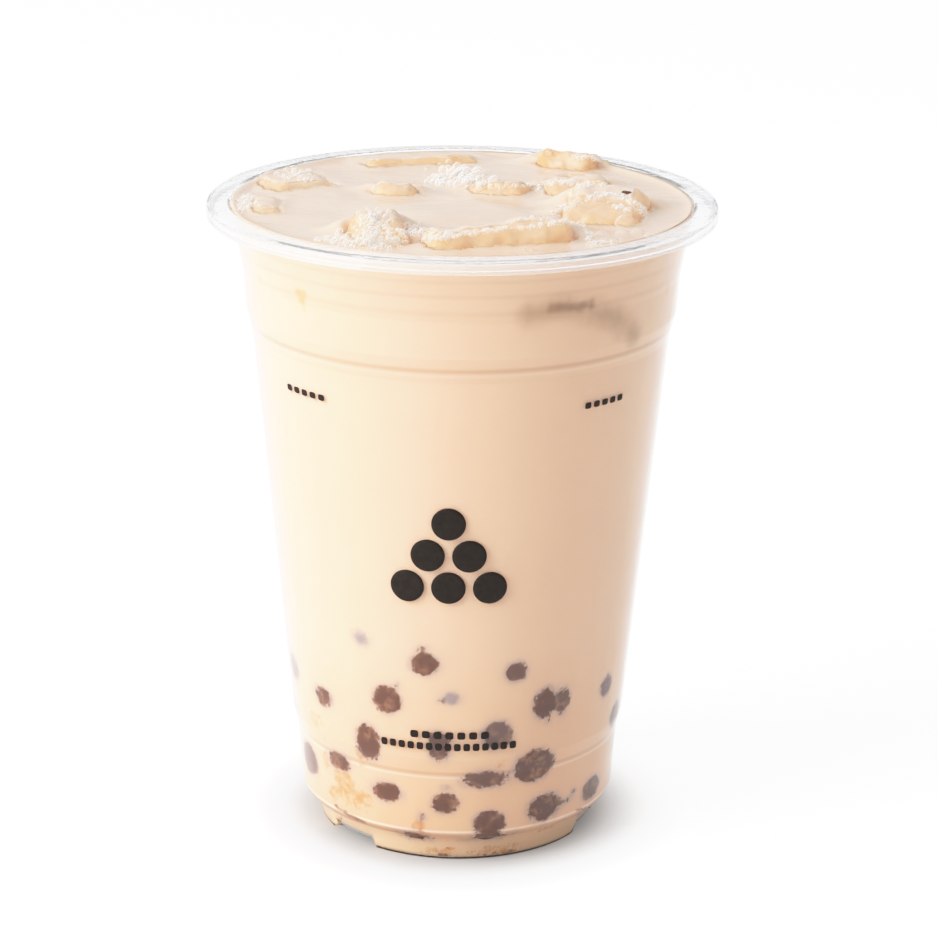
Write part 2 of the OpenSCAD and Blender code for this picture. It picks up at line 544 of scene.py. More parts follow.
def relief(tree, height, strength, distance):
    """The output of a normal with a fine relief."""
    return node(tree, "Bump", Strength=strength, Distance=distance, Height=height).outputs["Normal"]


# %% [markdown]
# ## Clear plastic
# The cup is polypropylene: clear, glossy and very slightly wavy from the mould. Light
# passes through it, and shadows of such thin plastic are weak, so shadow rays pass
# straight through a transparent shader, while all other rays meet the real surface.

# %% Clear plastic finish
clear_plastic, tree, shader = new_finish("clear_plastic")
waves = use_group(tree, mottle, Grain=45, Low=0, High=1)
set_up(
    tree, shader, Base_Color=(0.995, 0.998, 1, 1), Roughness=0.03, IOR=1.49, Transmission_Weight=1,
    Normal=relief(tree, waves, 0.12, 0.0006),
)
in_shadow = node(tree, "LightPath").outputs["Is Shadow Ray"]
see_through = node(tree, "BsdfTransparent", Color=(0.95, 0.96, 0.97, 1))
either = node(tree, "MixShader", in_shadow, shader.outputs["BSDF"], see_through.outputs["BSDF"])
plug(tree, tree.nodes["Material Output"].inputs["Surface"], either.outputs["Shader"])

# %% The rim's plastic, hazier where the sheet is rolled
RIM_BELOW = 3.2
rim_plastic = clear_plastic.copy()
rim_plastic.name = "rim_plastic"
rim_shader = rim_plastic.node_tree.nodes["Principled BSDF"]
set_up(rim_plastic.node_tree, rim_shader, Base_Color=(0.97, 0.98, 1, 1), Transmission_Weight=0.92)
cup.data.materials.append(clear_plastic)
cup.data.materials.append(rim_plastic)
centres = np.empty(len(cup.data.polygons) * 3)
cup.data.polygons.foreach_get("center", centres)
face_radius, face_height = round_place(centres.reshape(-1, 3))[1:]
in_rim = (face_height > CUP_TOP - RIM_BELOW) & (face_radius > LIP_R + 0.05)
cup.data.polygons.foreach_set("material_index", in_rim.astype(np.int32))
print("faces of the rim", int(in_rim.sum()))
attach(cup, "root")
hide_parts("cup")

# %% [markdown]
# ## The pearls' places
# Cooked tapioca pearls sink and gather in the lowest third. Where one leans on the wall
# it is pressed flat and shows as a dark patch. A few stay behind a thin film of milk and
# show as grey ghosts. The front is listed row by row, and the hidden side carries
# on in the same way, scattered by a seeded draw that keeps the pearls apart.

# %% Pearl rows
# Each row: angle from the front, height, half width and half height of the patch in mm,
# and how much milk covers it, from 0 for none to 1 for a ghost.
PEARLS = [
    (-10.5, 42.3, 2.6, 2.2, 0.0), (19, 40.4, 2.0, 2.0, 0.05), (-23.5, 34, 2.9, 2.8, 0.0),
    (-2, 35.4, 1.6, 1.2, 0.8), (-32, 45.5, 1.4, 1.2, 0.9), (30, 32.9, 2.5, 3.0, 0.0),
    (36.8, 32.6, 1.7, 2.5, 0.05), (59.5, 31.8, 2.0, 2.0, 0.1), (-51, 30.6, 2.5, 1.9, 0.0),
    (-73, 32.4, 3.0, 2.5, 0.5), (13.5, 27.6, 2.9, 2.8, 0.12), (-31.5, 24.2, 2.7, 3.6, 0.0),
    (-6, 25.4, 2.1, 3.0, 0.05), (71, 23.6, 2.6, 2.6, 0.15), (28, 20.0, 4.2, 3.4, 0.0),
    (10, 18.2, 4.2, 1.7, 0.05), (-46.5, 17.9, 2.9, 1.8, 0.0), (-68, 14.2, 3.9, 3.1, 0.1),
    (-25.5, 14.3, 2.9, 2.0, 0.0), (-4, 13.3, 2.5, 2.1, 0.0), (12, 8.9, 3.0, 2.6, 0.0),
    (33.5, 10.5, 3.6, 2.7, 0.0), (58.5, 10.4, 3.1, 2.2, 0.0), (81, 15.5, 2.4, 2.0, 0.8),
    (-80, 22.5, 2.4, 2.0, 0.8), (95, 10.5, 3.2, 2.4, 0.1), (-92, 9.5, 3.0, 2.6, 0.1),
]
PEARL_R = 4.3
DRAWN = 30
NEAREST = 8.2
MOST_TRIES = 4000
pearls_wanted = len(PEARLS) + DRAWN
draw = np.random.default_rng(11)


def along_wall(angle, height, row):
    """How far places on the wall lie from a row's middle, sideways and upwards, in mm."""
    turn = (angle - row[0] + 180) % 360 - 180
    return np.radians(turn) * wall_radius(height), height - row[1]


tries = 0
while len(PEARLS) < pearls_wanted and tries < MOST_TRIES:
    tries += 1
    row = (
        round(float(draw.uniform(86, 274)), 1),
        round(float(8.5 + 34 * draw.random() ** 1.5), 1),
        round(float(draw.uniform(1.8, 3.6)), 1),
        round(float(draw.uniform(1.7, 3.0)), 1),
        round(float(max(0, draw.uniform(-0.6, 0.6))), 2),
    )
    gaps = [math.hypot(*along_wall(row[0], row[1], other)) for other in PEARLS]
    if min(gaps) > NEAREST:
        PEARLS.append(row)
print(len(PEARLS), "pearls lean on the wall")

# %% [markdown]
# ## The ice
# The ice that stands out of the drink is half melted: its edges are round and its faces
# dip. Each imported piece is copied, remeshed at half a millimetre so that it has points
# to move, smoothed until its edges are gone, and then dented by a soft cloud pattern.

# %% Ice that stands out
ICE_NAMES = [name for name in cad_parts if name.startswith("ice_")]
ICE_MESH = 0.0005
melt = bpy.data.textures.new("melt", "CLOUDS")
melt.noise_scale = 0.0045
melt.noise_depth = 2


def melted(piece, strength=0.0017, rounds=13):
    """Remeshes a block of ice, rounds its edges and dents its faces."""
    work_on(piece)
    apply_modifier(piece, "REMESH", mode="VOXEL", voxel_size=ICE_MESH)
    apply_modifier(piece, "SMOOTH", factor=0.5, iterations=rounds)
    apply_modifier(
        piece, "DISPLACE", texture=melt, texture_coords="LOCAL", strength=strength, mid_level=0.5
    )
    bpy.ops.object.shade_smooth()


# Pieces that have melted down the most stand out less than their blocks do.
LOWERED = {"ice_left": 0.55, "ice_sliver": 0.55, "ice_rear": 0.85, "ice_ledge": 0.85}
ice_pieces = {}
for name in ICE_NAMES:
    source = bpy.data.objects[name]
    piece = bpy.data.objects.new(name + "_melted", source.data.copy())
    bpy.context.scene.collection.objects.link(piece)
    work_on(piece)
    edit_all()
    bpy.ops.mesh.remove_doubles(threshold=0.00001)
    bpy.ops.object.mode_set(mode="OBJECT")
    melted(piece)
    spots = points_of(piece)
    out = spots[:, 2] > LEVEL * MM
    spots[out, 2] = LEVEL * MM + (spots[out, 2] - LEVEL * MM) * LOWERED.get(name, 1)
    put_points(piece, spots)
    ice_pieces[name] = piece
print("ice faces", {name: len(piece.data.polygons) for name, piece in ice_pieces.items()})


def tree_of(pieces):
    """A search tree over the faces of some pieces."""
    points = []
    faces = []
    for piece in pieces:
        first = len(points)
        points += [v.co.copy() for v in piece.data.vertices]
        faces += [[first + v for v in face.vertices] for face in piece.data.polygons]
    return BVHTree.FromPolygons(points, faces)


# %% [markdown]
# ## The drink
# The drink is one closed, spun form with rows close enough together to carry soft
# changes of colour: every vertex keeps its distance from the nearest pearl, from the
# smears of brown sugar and from the ice that touches the wall, and the finish turns
# these distances into torn patches and grey rings. Its surface is drawn up a little at
# the wall, climbs over the backs of the ice and lies in low, soft humps between them.

# %% Rows of the drink's outline
DRINK_IN = WALL - REACH
SURFACE_STEP = 0.55
drink_side = [
    Vector((FOOT_R - DRINK_IN, DRINK_IN)),
    Vector((FOOT_TOP_R - DRINK_IN, FOOT_H + DRINK_IN)),
] + [p for p in rounded(wall_corners(DRINK_IN)) if p.y < LEVEL]
drink_side.append(Vector((float(wall_radius(LEVEL, DRINK_IN)), LEVEL)))


def row_step(height):
    """Space between two rows of the drink's side, close where there is something to see."""
    if height < 47:
        return 0.6
    return 2.0 if height < CUP_TOP - 26 else 0.9


def with_rows(line):
    """The same line with points added so that no space between two is over row_step."""
    full = [line[0]]
    for start, end in zip(line, line[1:]):
        count = max(1, math.ceil((end - start).length / row_step(start.y)))
        full += [start.lerp(end, (i + 1) / count) for i in range(count)]
    return full


surface_rows = [
    Vector((radius, LEVEL))
    for radius in np.arange(drink_side[-1].x - SURFACE_STEP, SURFACE_STEP, -SURFACE_STEP)
]
drink_base = [
    Vector((0, BASE_RISE + DRINK_IN)),
    Vector((RECESS_R + DRINK_IN - 0.4, BASE_RISE + DRINK_IN)),
    Vector((RECESS_R + DRINK_IN, BASE_RISE + DRINK_IN - 0.4)),
    Vector((RECESS_R + DRINK_IN, DRINK_IN)),
]
drink_outline = drink_base + with_rows(drink_side) + surface_rows + [Vector((0, LEVEL))]
DRINK_STEPS = 304
drink = turned("milk_tea_drink", drink_outline, DRINK_STEPS)
press_notches(drink, DRINK_IN)

# %% Surface of the drink
drink_points = points_of(drink)
angle, radius, height = round_place(drink_points)
on_top = height > LEVEL - 0.001
surface_r = float(drink_side[-1].x)
flat_x = drink_points[:, 0] / MM
flat_y = drink_points[:, 1] / MM
WALL_RISE = 0.9
ICE_RISE = 0.7
RISE_REACH = 1.1
WAVE_H = 0.12
rise = WALL_RISE * np.exp(-(surface_r - radius) / RISE_REACH)
rise += WAVE_H * np.sin(flat_x * 0.31 + 0.8) * np.cos(flat_y * 0.27)


def hump(x, y, across, along, height):
    """A low round hump of the surface over something sunken."""
    away = np.hypot((flat_x - x) / across, (flat_y - y) / along)
    return height * (1 - soften(away, 0.5, 1.2))


rise += hump(-3, -7, 17, 11, 0.9)
rise += hump(-27, 6, 7, 11, 0.4)
rise += hump(8, 26, 12, 8, 0.35)

# %% Milk that climbs over the ice
# How much of the top stays bare from the front edge backwards, in mm, piece by piece.
BARE = {
    "ice_front": 4.0, "ice_peak": 7.0, "ice_right": 9.0, "ice_middle": 2.4, "ice_ledge": 3.4,
    "ice_chip": 2.6, "ice_back": 2.4, "ice_rear": 1.2, "ice_left": 3.0, "ice_sliver": 3.0,
    "ice_crown": 1.6,
}
DOWN = Vector((0, 0, -1))
SEARCH_STEP = 0.5
SWELL_REACH = 4.2
NEAR_ICE = 8
ice_away = np.full(len(angle), 9.0)
over_ice = np.full(len(angle), -9.0)
climb = np.zeros(len(angle))
top_rows = np.nonzero(on_top)[0]


def top_of(tree, x, y):
    """Height of the ice above the drink's level at a place, in mm, or None beside it."""
    place = tree.ray_cast(Vector((x, y, LEVEL + 12)) * MM, DOWN)[0]
    return None if place is None or place.z / MM < LEVEL - 0.5 else place.z / MM - LEVEL


for name, piece in ice_pieces.items():
    tree = tree_of([piece])
    low = points_of(piece).min(0) / MM - NEAR_ICE
    high = points_of(piece).max(0) / MM + NEAR_ICE
    near = top_rows[
        (flat_x[top_rows] > low[0]) & (flat_x[top_rows] < high[0])
        & (flat_y[top_rows] > low[1]) & (flat_y[top_rows] < high[1])
    ]
    for row in near:
        x, y = float(flat_x[row]), float(flat_y[row])
        here = Vector((x, y, LEVEL)) * MM
        place, normal, _, distance = tree.find_nearest(here)
        inside_ice = (here - place).dot(normal) < 0
        away = distance / MM
        if not inside_ice:
            side = (here - place) / max(distance, 0.000001)
            back = float(soften(side.y, -0.1, 0.6))
            edge_top = top_of(tree, place.x / MM - side.x * 1.5, place.y / MM - side.y * 1.5) or 0
            swell = 0.8 * edge_top * back * math.exp(-((away / SWELL_REACH) ** 2))
            climb[row] = max(climb[row], swell, ICE_RISE * math.exp(-away / RISE_REACH))
            ice_away[row] = min(ice_away[row], away + 6 * back)
            continue
        top = top_of(tree, x, y) or 0
        front_gap = 0
        while front_gap < BARE[name] and top_of(tree, x, y - front_gap - SEARCH_STEP) is not None:
            front_gap += SEARCH_STEP
        if front_gap >= BARE[name]:
            over_ice[row] = max(over_ice[row], top + 0.08)
        else:
            over_ice[row] = max(over_ice[row], -1.6)
        ice_away[row] = min(ice_away[row], -away)
covered = over_ice > -8
rise = np.where(covered, over_ice, np.maximum(rise, climb + 0.5 * rise))
print("surface points over ice", int(covered.sum()))

drink_points[on_top, 2] += rise[on_top] * MM
put_points(drink, drink_points)

# %% Open milk, smoothed
# The climb is worked out point by point, which leaves fine creases: only the open milk is
# smoothed, so its edge against the front of the ice stays where it is.
open_milk = on_top & ~covered & (ice_away > 1.0) & (radius < surface_r - 2.5)
open_group = drink.vertex_groups.new(name="open_milk")
open_group.add([int(row) for row in np.nonzero(open_milk)[0]], 1.0, "REPLACE")
work_on(drink)
apply_modifier(drink, "SMOOTH", factor=0.5, iterations=24, vertex_group="open_milk")
print("open milk", int(open_milk.sum()), "points smoothed")


# %% Distances that the finish reads
def nearest(rows):
    """Distance in mm from every vertex to the nearest patch's edge, and that patch's cover."""
    best = np.full(len(angle), 9.0)
    cover = np.zeros(len(angle))
    for row in rows:
        across, up = along_wall(angle, height, row)
        away = (np.hypot(across / row[2], up / row[3]) - 1) * min(row[2], row[3])
        closer = away < best
        best[closer] = away[closer]
        cover[closer] = row[4]
    return best, cover


def stroke(places, half_width):
    """Distance in mm from every vertex to a stroke along places (angle, height) on the wall."""
    best = np.full(len(angle), 9.0)
    for start, end in zip(places, places[1:]):
        for share in np.linspace(0, 1, 7):
            row = (start[0] + (end[0] - start[0]) * share, start[1] + (end[1] - start[1]) * share)
            across, up = along_wall(angle, height, row)
            best = np.minimum(best, np.hypot(across, up) - half_width)
    return best


FOOT_MARKS = [(-16, 5.3, 2.7, 1.2, 0.0), (12.5, 5.5, 3.2, 0.8, 0.0), (42, 10.5, 1.2, 0.4, 0.1)]
CRUMBS = [
    (-4.8, 35, 0.45, 0.35, 0.2), (-11, 45.3, 0.5, 0.3, 0.1), (-20, 37.3, 0.3, 0.3, 0.1),
    (-12.5, 10.2, 0.5, 0.5, 0.2), (-3.5, 16.4, 0.4, 0.3, 0.1), (47, 11.8, 0.4, 0.4, 0.3),
    (-28, 22, 0.3, 0.3, 0.2), (31.5, 29.4, 0.4, 0.5, 0.0),
]
SYRUP = [
    (-50, 10.5, 2.0, 1.6, 0.0), (-43, 12.0, 3.2, 2.6, 0.0), (-37, 11.0, 2.2, 1.6, 0.0),
    (-46, 14.0, 2.0, 2.2, 0.0), (-54, 17, 0.8, 2.4, 0.0), (-35, 20.5, 0.7, 1.4, 0.0),
    (-13, 8, 1.2, 2.0, 0.0), (-5, 1.6, 3.0, 0.9, 0.0), (15, 1.6, 3.4, 0.9, 0.0),
    (16, 22, 0.8, 1.2, 0.0), (-57, 24.6, 1.6, 1.4, 0.0), (38, 4.5, 1.4, 0.5, 0.0),
    (140, 12, 3.0, 2.4, 0.0), (205, 10, 2.6, 2.0, 0.0), (250, 14, 2.2, 3.0, 0.0),
]
DEPOSITS = [
    ([(-50, 7.6), (-43, 6.9), (-36, 6.7)], 0.35), ([(50, 7.4), (56, 6.6)], 0.3),
    ([(-7, 0.9), (1, 0.8)], 0.3), ([(12, 0.8), (24, 0.8)], 0.35),
]
ICE_SHADE = [(17, 110.4), (25, 110.9), (34, 109.9), (43, 107.6), (51, 103.2)]
ICE_CORE = [(23, 111.3), (34, 111.0)]
AMBER_MARKS = [
    (-45.2, 111.4, 0.9, 0.8, 0.0), (-43.4, 111.5, 0.8, 0.7, 0.0), (-44.4, 110.2, 0.8, 1.0, 0.0),
    (-44.0, 108.8, 0.4, 0.9, 0.0), (-63, 111.4, 0.5, 0.8, 0.0), (67.4, 109, 0.6, 1.2, 0.0),
]
FAR = 9
pearl_edge, pearl_cover = nearest(PEARLS + FOOT_MARKS + CRUMBS)
WALL_MARKS = {
    "pearl_edge": pearl_edge,
    "syrup_edge": nearest(SYRUP)[0],
    "deposit_edge": np.min([stroke(places, half) for places, half in DEPOSITS], axis=0),
    "amber_edge": nearest(AMBER_MARKS)[0],
    "ice_edge": stroke(ICE_SHADE, 1.6),
    "ice_core": stroke(ICE_CORE, 0.8),
}
for name, distances in WALL_MARKS.items():
    store(drink, name, np.where(on_top, FAR, distances))
store(drink, "pearl_cover", pearl_cover)
store(drink, "ice_away", ice_away)
print("nearest pearl edge", round(float(pearl_edge.min()), 2), "mm inside a patch")

# %% [markdown]
# ## Milk tea behind the wall
# Milk tea is cloudy: light goes in a millimetre or two and comes back warm, so the
# finish has some light under its surface. The plastic lies on it, so it has no gloss of
# its own at the wall. Over the base colour come the smears of brown sugar, the grey ring
# round each pearl where the film of milk is thin, and the dark torn patch itself.

# %% Drink finish at the wall
TEA = colour(225, 187, 158)
TEA_LOW_SHADED = colour(217, 168, 130)
TEA_FOOT_LIT = colour(234, 197, 162)
TEA_PALE = colour(230, 196, 168)
RING = colour(140, 130, 136)
GHOST = colour(142, 134, 138)
PATCH = colour(94, 50, 28)
PATCH_PALE = colour(146, 100, 70)
SUGAR = colour(196, 126, 62)
SUGAR_DARK = colour(98, 58, 32)
ICE_GREY = colour(174, 146, 112)
ICE_BROWN = colour(138, 96, 68)
AMBER = colour(214, 158, 104)
CREASE_SHADE = colour(190, 146, 116)
GLINT = colour(252, 236, 220)
# Painted shade and painted highlights: dark lines in the creases of the cup's steps and bright glints beside
# them, where the plastic bends the light.
RING_LINES = [
    (CUP_TOP - 22.0, 0.8, 0.6, CREASE_SHADE), (CUP_TOP - 23.0, 0.5, 0.15, GLINT),
    (19.5, 0.7, 0.6, CREASE_SHADE), (18.6, 0.5, 0.3, GLINT),
    (CUP_TOP - 11.2, 0.9, 0.22, CREASE_SHADE), (CUP_TOP - 8.0, 0.7, 0.22, CREASE_SHADE),
    (CUP_TOP - 5.2, 0.6, 0.18, CREASE_SHADE), (7.2, 0.4, 0.6, GLINT), (6.4, 0.5, 0.5, CREASE_SHADE),
]
# Each layer: the stored distance, how far its edge strays, the grain and softness of the
# edge, how strong the layer is, and its colour.
LAYERS = [
    ("deposit_edge", 0.5, 600, 0.2, 0.75, SUGAR_DARK),
    ("amber_edge", 0.3, 400, 0.5, 0.8, AMBER),
    ("ice_edge", 1.1, 150, 2.6, 0.9, ICE_GREY),
    ("ice_core", 0.4, 300, 0.8, 0.75, ICE_BROWN),
    ("pearl_edge", 0.7, 400, 1.5, 0.95, RING),
]
tea_wall, tree, shader = new_finish("milk_tea_at_wall")
upward = node(tree, "SeparateXYZ", place_on(tree)).outputs["Z"]
# Darker towards the bottom: painted shade, where less of the window's light reaches.
base = mixed(tree, ramp(tree, upward, 0, 0.045, 1, 0), TEA, TEA_LOW_SHADED)
# Lighter in the foot: painted light, for the light that the clear foot gathers.
base = mixed(tree, ramp(tree, upward, 0.004, 0.0065, 1, 0), base, TEA_FOOT_LIT)
base = mottled(tree, 60, 0, 0.25, base, TEA_PALE)[0]


def torn(distance, wobble, grain, softness):
    """The mask output of a torn edge at a stored distance."""
    return use_group(
        tree, torn_edge, Distance=stored(tree, distance), Wobble=wobble, Grain=grain, Softness=softness
    )


for middle, half, strength, line in RING_LINES:
    ring = use_group(tree, ring_line, Middle=middle * MM, Half=half * MM)
    base = mixed(tree, times(tree, ring, strength), base, line)
sugar_speck = use_group(tree, mottle, Grain=700, Low=0, High=1)
sugar_mask = times(tree, torn("syrup_edge", 1.8, 420, 0.35), sugar_speck)
base = mixed(tree, times(tree, sugar_mask, 0.85), base, SUGAR)
for distance, wobble, grain, softness, strength, paint in LAYERS:
    base = mixed(tree, times(tree, torn(distance, wobble, grain, softness), strength), base, paint)
patch = mottled(tree, 420, -1.1, 0.9, PATCH, PATCH_PALE)[0]
patch = mixed(tree, stored(tree, "pearl_cover"), patch, GHOST)
bare = ramp(tree, stored(tree, "pearl_cover"), 0, 1, 0.97, 0.35)
base = mixed(tree, times(tree, torn("pearl_edge", 0.9, 900, 0.12), bare), base, patch)
set_up(
    tree, shader, Base_Color=base, Roughness=0.5, Specular_IOR_Level=0,
    Subsurface_Weight=0.25, Subsurface_Radius=(1.0, 0.55, 0.3), Subsurface_Scale=0.0012,
)

# %% [markdown]
# ## Milk tea at the surface
# The free surface is wet and smooth, so it mirrors the sky a little. Its colour is a
# touch paler than at the wall and it glows faintly: painted light on the top, which faces
# the window. It is stained where ice melts into it.

# %% Drink finish at the surface
tea_top, tree, shader = new_finish("milk_tea_surface")
# Painted light on the top: a paler colour than at the wall, and a faint glow set below.
base = mottled(tree, 110, 0, 0.6, colour(242, 212, 188), colour(246, 222, 204))[0]
stain = ramp(tree, maths(tree, "ABSOLUTE", stored(tree, "ice_away")), 0.2, 2.2, 0.7, 0)
ripple = use_group(tree, mottle, Grain=90, Low=0, High=1)
set_up(
    tree, shader, Base_Color=mixed(tree, stain, base, colour(240, 206, 174)),
    Roughness=0.18, Specular_IOR_Level=0.4,
    Emission_Color=colour(252, 226, 206), Emission_Strength=0.035,
    Subsurface_Weight=0.25, Subsurface_Radius=(1.0, 0.6, 0.35), Subsurface_Scale=0.0012,
    Normal=relief(tree, ripple, 0.25, 0.0004),
)
drink.data.materials.append(tea_wall)
drink.data.materials.append(tea_top)
top_faces = [min(on_top[v] for v in face.vertices) for face in drink.data.polygons]
drink.data.polygons.foreach_set("material_index", np.array(top_faces, dtype=np.int32))
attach(drink, "root")
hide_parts("milk_tea")

# %% [markdown]
# ## The pearls
# Tapioca pearls are soft balls about eight and a half millimetres across. One ball is
# made, every copy gets its own lumps, and the ones at the wall are pressed flat against
# the inside of the drink's skin. A second heap fills the bottom behind them.

# %% One ball
def unit_ball(subdivisions):
    """The points and faces of a ball of radius 1."""
    bpy.ops.object.select_all(action="DESELECT")
    bpy.ops.mesh.primitive_ico_sphere_add(subdivisions=subdivisions, radius=1)
    return shape_of(bpy.context.object)


ball_points, ball_faces = unit_ball(4)


def heap(name, shapes):
    """One piece from many point sets that all share the same faces."""
    mesh = bpy.data.meshes.new(name)
    points = np.concatenate([points for points, faces in shapes])
    starts = np.cumsum([0] + [len(points) for points, faces in shapes[:-1]])
    faces = np.concatenate([faces + start for start, (points, faces) in zip(starts, shapes)])
    mesh.vertices.add(len(points))
    mesh.vertices.foreach_set("co", points.ravel())
    mesh.loops.add(len(faces) * 3)
    mesh.loops.foreach_set("vertex_index", faces.ravel())
    mesh.polygons.add(len(faces))
    mesh.polygons.foreach_set("loop_start", np.arange(len(faces)) * 3)
    mesh.update(calc_edges=True)
    mesh.validate()
    piece = bpy.data.objects.new(name, mesh)
    bpy.context.scene.collection.objects.link(piece)
    work_on(piece)
    bpy.ops.object.shade_smooth()
    print(name, len(shapes), "shapes,", len(faces), "triangles")
    return piece


def lumpy(points, lumps, seed):
    """A unit ball with soft lumps."""
    turn = np.random.default_rng(seed).uniform(-3, 3, (3, 3))
    waves = np.sin(points @ turn.T + turn[0]).sum(1)
    return points * (1 + lumps * waves)[:, None]


# %% Pearls at the wall and in the heap
PRESSED = 0.05
LUMPS = 0.03
shapes = []
for number, row in enumerate(PEARLS):
    turn = math.radians(row[0])
    out = np.array([math.sin(turn), -math.cos(turn), 0])
    skin = wall_radius(row[1], DRINK_IN)
    pressed = PEARL_R - math.sqrt(max(PEARL_R ** 2 - min(row[2] * row[3], 12), 4))
    sunk = 0.3 + row[4]
    middle = out * (skin - PEARL_R + pressed - sunk) + np.array([0, 0, row[1]])
    points = lumpy(ball_points, LUMPS, number) * PEARL_R + middle
    around, reach, level_here = round_place(points * MM)
    limit = wall_radius(level_here, DRINK_IN) - PRESSED
    shrink = np.minimum(1, limit / np.maximum(reach, 0.01))
    points[:, :2] *= shrink[:, None]
    points[:, 2] = np.maximum(points[:, 2], BASE_RISE + WALL + 0.1)
    shapes.append((points * MM, ball_faces))
HEAP_COUNT = 46
HEAP_R = 21
heap_draw = np.random.default_rng(5)
middles = []
tries = 0
while len(middles) < HEAP_COUNT and tries < MOST_TRIES:
    tries += 1
    reach = HEAP_R * math.sqrt(heap_draw.random())
    around = heap_draw.uniform(0, 2 * math.pi)
    middle = np.array([reach * math.cos(around), reach * math.sin(around), heap_draw.uniform(7.5, 30)])
    if all(np.linalg.norm(middle - other) > NEAREST for other in middles):
        middles.append(middle)
        shapes.append(((lumpy(ball_points, LUMPS, 90 + tries) * PEARL_R + middle) * MM, ball_faces))
pearls = heap("tapioca_pearls", shapes)

# %% Pearl finish
pearl_finish, tree, shader = new_finish("tapioca")
set_up(
    tree, shader, Base_Color=mottled(tree, 500, 0, 1, colour(72, 40, 26), colour(112, 66, 44))[0],
    Roughness=0.25, Subsurface_Weight=0.3, Subsurface_Radius=(1.0, 0.4, 0.2), Subsurface_Scale=0.001,
)
pearls.data.materials.append(pearl_finish)
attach(pearls, "root")

# %% [markdown]
# ## Finishes of the ice
# Where ice stands out of milk tea it is wet, clear and amber from the tea behind it.
# Some light passes through, some scatters just under the face, and a fine relief
# breaks up the gloss. A faint amber glow is painted light, for the light that comes through.

# %% Ice finishes
ice_clear, tree, shader = new_finish("ice_side")
base, depth = mottled(tree, 160, 0, 1, colour(250, 210, 168), colour(253, 230, 204))
set_up(
    tree, shader, Base_Color=base, Roughness=0.16, IOR=1.31, Transmission_Weight=0.5,
    # Painted light: a faint amber glow for the light that passes through the ice.
    Emission_Color=colour(252, 204, 158), Emission_Strength=0.13,
    Subsurface_Weight=0.3, Subsurface_Radius=(1.0, 0.6, 0.3), Subsurface_Scale=0.0015,
    Normal=relief(tree, depth, 0.35, 0.0003),
)
for name, piece in ice_pieces.items():
    piece.data.materials.clear()
    piece.data.materials.append(ice_clear)
    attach(piece, "root")
    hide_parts(name)

# %% [markdown]
# ## The sunken ice
# One block of ice hangs wholly under the surface and leans towards the wall at the right:
# the dark smear up there is its shade in the milk. It is a cube, melted like the others.

# %% Sunken ice
SUNKEN_MIDDLE = (0.0225, -0.0222, 0.104)
SUNKEN_SIDE = 0.009
SUNKEN_BEVEL = 0.0014
bpy.ops.object.select_all(action="DESELECT")
bpy.ops.mesh.primitive_cube_add(size=SUNKEN_SIDE)
sunken = bpy.context.object
sunken.name = "sunken_ice"
edit_all()
bpy.ops.transform.resize(value=(1, 0.8, 1.1))
bpy.ops.mesh.bevel(offset=SUNKEN_BEVEL, segments=2, affect="EDGES")
bpy.ops.transform.translate(value=SUNKEN_MIDDLE)
bpy.ops.object.mode_set(mode="OBJECT")
melted(sunken)
sunken.data.materials.append(ice_clear)
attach(sunken, "root")
print("sunken ice", len(sunken.data.polygons), "faces")

# %% [markdown]
# ## Froth
# Shaken tea carries froth: hundreds of small bubbles that gather where ice breaks the
# surface, and a few large ones. Their places follow strokes drawn over the surface as
# the drinker sees it, and each bubble is dropped along that line of sight until it
# meets the drink or the ice, so froth climbs over the ice like the real one.

# %% Small and large bubbles
bubble_points, bubble_faces = unit_ball(2)
surface_tree = tree_of([drink] + list(ice_pieces.values()))


def dropped(x, y):
    """The place where the line of sight through (x, y) on the surface meets drink or ice, in mm."""
    aim = Vector((x, y, LEVEL)) * MM - CAMERA_PLACE
    place = surface_tree.ray_cast(CAMERA_PLACE, aim.normalized())[0]
    if place is None or math.hypot(place.x, place.y) > (surface_r - 0.8) * MM:
        return None
    return np.array(place) / MM


